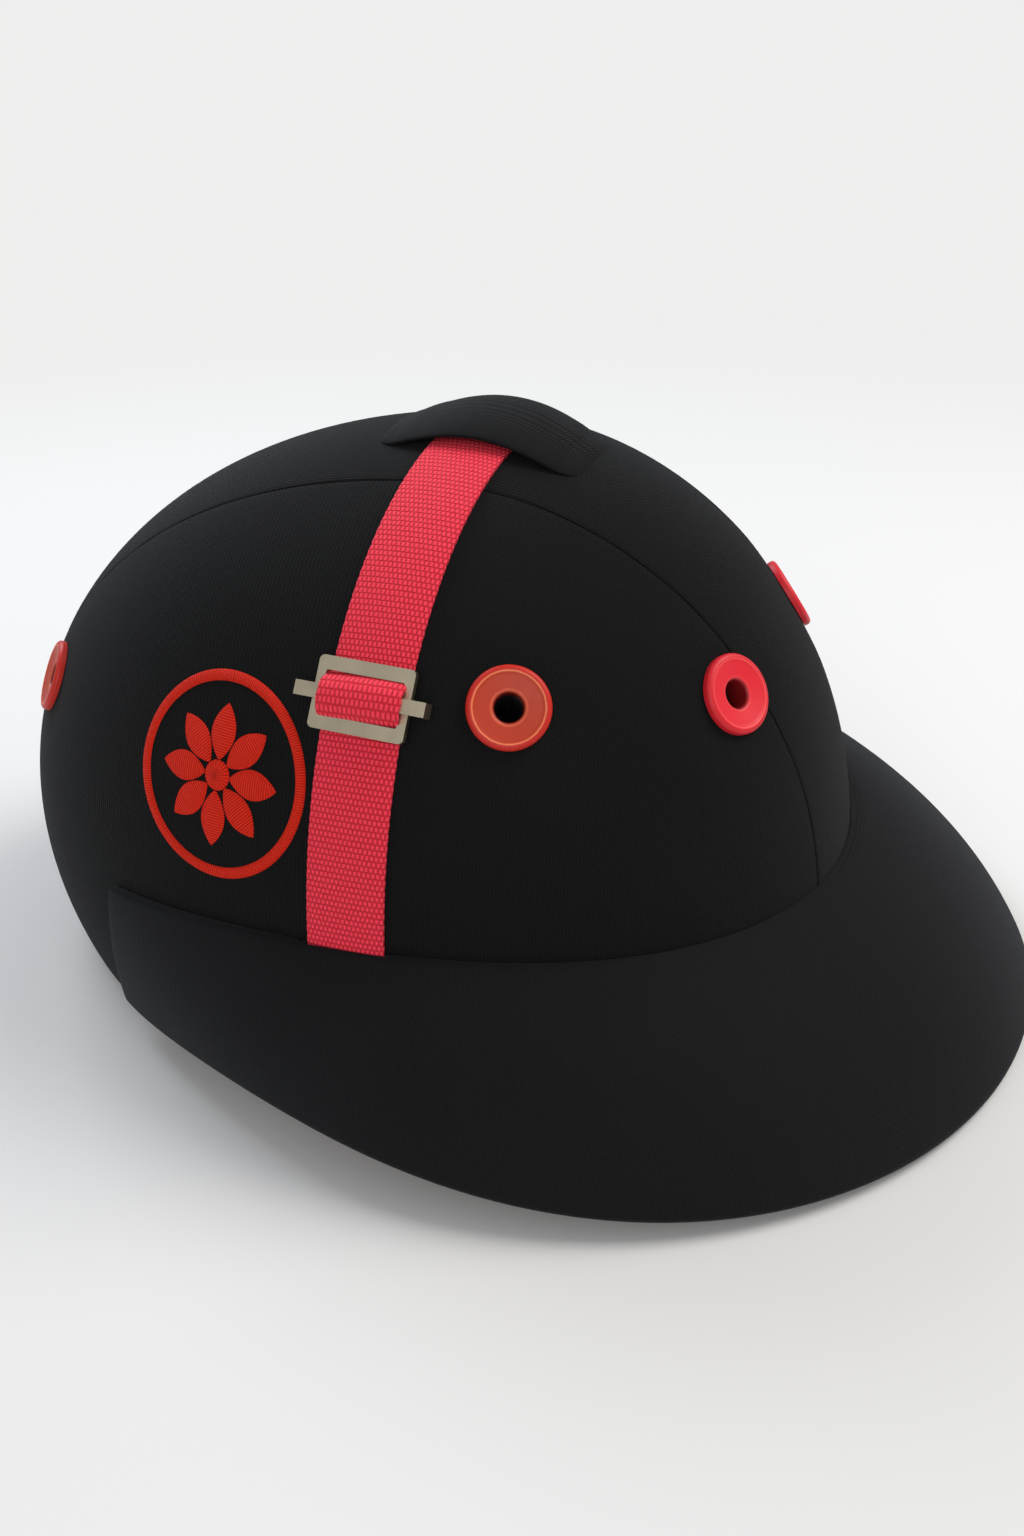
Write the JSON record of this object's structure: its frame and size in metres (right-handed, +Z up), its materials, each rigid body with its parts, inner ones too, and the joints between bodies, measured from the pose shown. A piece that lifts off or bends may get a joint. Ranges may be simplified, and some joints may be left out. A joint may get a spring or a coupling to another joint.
{
  "type": "polo helmet",
  "caption": "Fabric-covered riding helmet with a wide wrap-around peak, webbing over the crown with a slide buckle, ringed air eyelets, foam liner and hinged chin straps with a clasp.",
  "frame": {"origin": "bottom centre of the bounding box, on the surface that the helmet stands on", "axes": "-Y is the way the wearer faces, +Z up, +X the wearer's left"},
  "size_m": [0.2826, 0.3543, 0.1927],
  "materials": {
    "cover_fabric": "matt warp-knitted cloth backed with thin foam, charcoal",
    "peak_fabric": "matt fine woven cloth, charcoal",
    "lining_fabric": "matt brushed lining cloth",
    "webbing_coral": "ribbed woven webbing, coral pink",
    "webbing_black": "ribbed woven webbing, black",
    "embroidery": "satin-stitched thread, red",
    "shell_plastic": "moulded, satin",
    "foam": "moulded bead foam",
    "soft_pad": "soft closed-cell foam, matt",
    "buckle_metal": "satin nickel, warm tint",
    "hanger_metal": "polished plated wire",
    "rivet_metal": "blackened",
    "eyelet_plastic": "semi-gloss, orange-red",
    "washer_plastic": "moulded",
    "clasp_plastic": "moulded acetal, satin"
  },
  "bodies": {
    "helmet": {"eyelet_front_right": "eyelet_plastic", "eyelet_front_left": "eyelet_plastic", "eyelet_side_right": "eyelet_plastic", "eyelet_side_left": "eyelet_plastic", "eyelet_rear_right": "eyelet_plastic", "eyelet_rear_left": "eyelet_plastic", "eyelet_washer_front_right": "washer_plastic", "eyelet_washer_front_left": "washer_plastic", "eyelet_washer_side_right": "washer_plastic", "eyelet_washer_side_left": "washer_plastic", "eyelet_washer_rear_right": "washer_plastic", "eyelet_washer_rear_left": "washer_plastic", "peak_rivet_front_right": "rivet_metal", "peak_rivet_front_left": "rivet_metal", "peak_rivet_middle_right": "rivet_metal", "peak_rivet_middle_left": "rivet_metal", "peak_rivet_side_right": "rivet_metal", "peak_rivet_side_left": "rivet_metal", "cover_center_panel": "cover_fabric", "cover_side_panel_right": "cover_fabric", "cover_side_panel_left": "cover_fabric", "shell": "shell_plastic", "impact_liner": "foam", "crown_lining": "lining_fabric", "sweatband": "lining_fabric", "nape_pad": "soft_pad", "crown_pad": "soft_pad", "rim_binding": "lining_fabric", "crown_strap": "webbing_coral", "buckle_frame": "buckle_metal", "crown_hood": "cover_fabric", "peak_core": "shell_plastic", "peak_top_cover": "peak_fabric", "peak_under_cover": "peak_fabric", "roundel_ring": "embroidery", "roundel_rosette": "embroidery", "hanger_ring_right": "hanger_metal", "hanger_ring_left": "hanger_metal"},
    "slide_bar": {"buckle_bar": "buckle_metal"},
    "chin_right": {"chin_strap_right": "webbing_black", "chin_buckle_socket": "clasp_plastic", "chin_pad": "soft_pad"},
    "chin_left": {"chin_strap_left": "webbing_black", "chin_buckle_prong": "clasp_plastic", "chin_strap_keeper": "clasp_plastic"}
  },
  "joints": [
    {"name": "buckle_bar_slide", "type": "slide", "parent": "helmet", "child": "slide_bar", "axis": [-0.5388, 0.0485, -0.8411], "range_m": [-0.002, 0.002]},
    {"name": "chin_right_hinge", "type": "hinge", "parent": "helmet", "child": "chin_right", "pos_m": [-0.1119, 0.0114, 0.014], "axis": [0, 1, 0], "range_deg": [0, 100]},
    {"name": "chin_left_hinge", "type": "hinge", "parent": "helmet", "child": "chin_left", "pos_m": [0.1119, 0.0114, 0.014], "axis": [0, -1, 0], "range_deg": [0, 100]}
  ]
}
